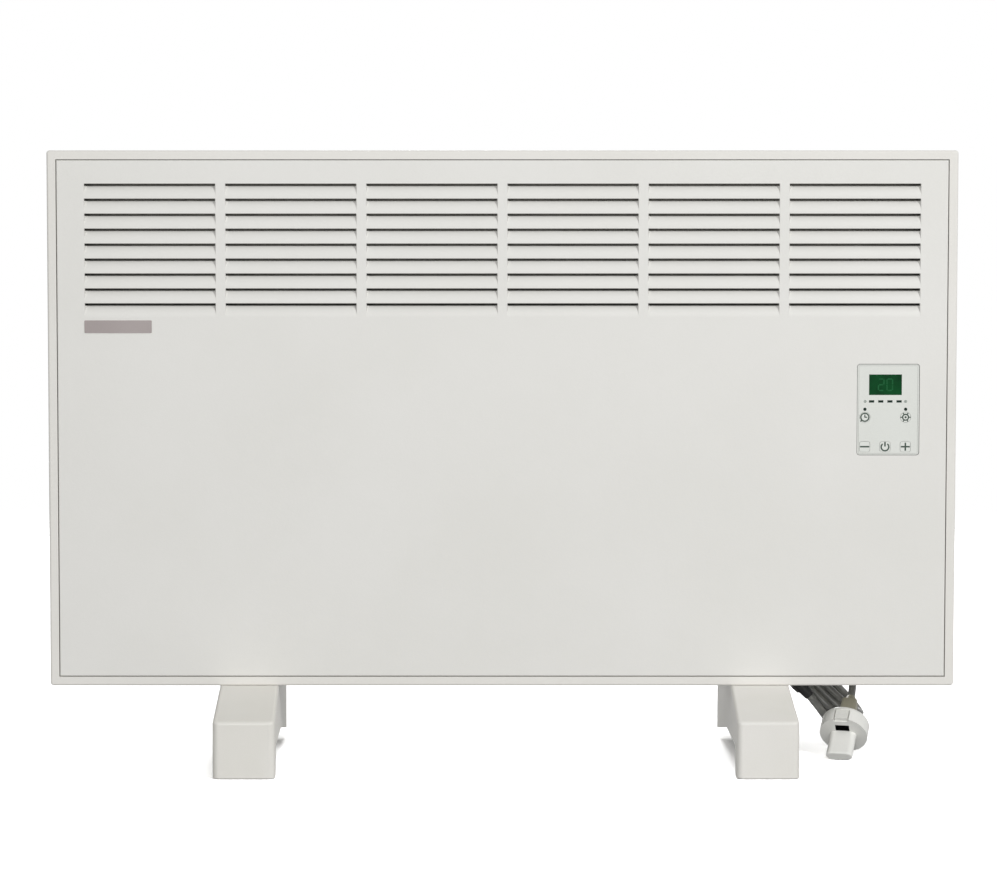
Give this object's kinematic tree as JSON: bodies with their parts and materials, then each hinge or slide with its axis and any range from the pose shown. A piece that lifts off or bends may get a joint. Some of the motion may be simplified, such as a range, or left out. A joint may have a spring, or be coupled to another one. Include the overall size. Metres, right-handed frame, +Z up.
{
  "type": "panel convector heater",
  "caption": "Slim white panel convector heater on two moulded feet, with louvred front, touch control unit, finned element inside, and a tied lead with plug",
  "frame": {"origin": "on the floor under the middle of the heater, between the two feet", "axes": "+X to the viewer's right along the casing, +Y from the louvred front to the back, +Z up"},
  "size_m": [0.762, 0.235, 0.517],
  "materials": {
    "casing_paint": "satin powder coat, warm off-white",
    "panel_paint": "satin powder coat, warm off-white",
    "back_paint": "satin powder coat",
    "foot_plastic": "fine satin moulding, off-white",
    "plate": "matt printed foil on plastic, bare",
    "fascia_plastic": "satin white moulding",
    "display": "smoked window",
    "light_pipe": "tinted light guide",
    "grey_plastic": "moulded, plain",
    "dark_plastic": "moulded, plain",
    "white_plastic": "moulded, plain",
    "circuit_board": "solder mask on laminate",
    "steel": "zinc plated",
    "spring_steel": "phosphated",
    "aluminium_fin": "extruded, plain",
    "brass_terminal": "turned",
    "nickel": "nickel plated",
    "ceramic_white": "unglazed",
    "rubber_black": "moulded",
    "wire_cover": "silicone sleeve",
    "cord_cover": "round flexible sheath, grey",
    "plug_plastic": "satin moulding, pale grey",
    "plug_cap_plastic": "plain moulding, beige"
  },
  "bodies": {
    "root": {"air_guide": "steel", "air_guide_right": "steel", "board_standoffs": "white_plastic", "casing_shell": "casing_paint", "control_bezel": "fascia_plastic", "control_board": "circuit_board", "control_fascia": "fascia_plastic", "control_housing": "grey_plastic", "cord_gland": "dark_plastic", "cord_hank": "cord_cover", "cord_lead_in": "cord_cover", "cord_lead_out": "cord_cover", "cord_tail": "cord_cover", "cord_tie": "dark_plastic", "cover_screws": "steel", "display_module": "dark_plastic", "display_window": "display", "earth_nut": "steel", "earth_stud": "steel", "element_bracket_left": "steel", "element_bracket_right": "steel", "element_insulators": "ceramic_white", "element_terminals": "brass_terminal", "foot_buffers": "rubber_black", "foot_left": "foot_plastic", "foot_nuts": "steel", "foot_pads": "rubber_black", "foot_right": "foot_plastic", "foot_screws": "steel", "front_panel": "panel_paint", "gland_nut": "dark_plastic", "heating_element": "aluminium_fin", "indicator_lights": "light_pipe", "internal_wires": "wire_cover", "key_switches": "dark_plastic", "level_lights": "light_pipe", "nameplate": "plate", "overheat_cutout": "dark_plastic", "panel_clips": "spring_steel", "plug_body": "plug_plastic", "plug_cap": "plug_plastic", "plug_earth_strips": "nickel", "plug_grip": "plug_cap_plastic", "plug_pins": "nickel", "power_board": "circuit_board", "power_parts": "dark_plastic", "rear_cover": "back_paint", "room_sensor": "dark_plastic", "terminal_block": "white_plastic"},
    "key_minus": {"key_minus": "fascia_plastic"},
    "key_power": {"key_power": "fascia_plastic"},
    "key_plus": {"key_plus": "fascia_plastic"},
    "key_timer": {"key_timer": "fascia_plastic"},
    "key_mode": {"key_mode": "fascia_plastic"}
  },
  "joints": [
    {"name": "key_minus_press", "type": "slide", "parent": "root", "child": "key_minus", "axis": [0, 1, 0], "range_m": [0, 0.0004], "stiffness_N_per_m": 800},
    {"name": "key_power_press", "type": "slide", "parent": "root", "child": "key_power", "axis": [0, 1, 0], "range_m": [0, 0.0004], "stiffness_N_per_m": 800},
    {"name": "key_plus_press", "type": "slide", "parent": "root", "child": "key_plus", "axis": [0, 1, 0], "range_m": [0, 0.0004], "stiffness_N_per_m": 800},
    {"name": "key_timer_press", "type": "slide", "parent": "root", "child": "key_timer", "axis": [0, 1, 0], "range_m": [0, 0.0004], "stiffness_N_per_m": 800},
    {"name": "key_mode_press", "type": "slide", "parent": "root", "child": "key_mode", "axis": [0, 1, 0], "range_m": [0, 0.0004], "stiffness_N_per_m": 800}
  ]
}
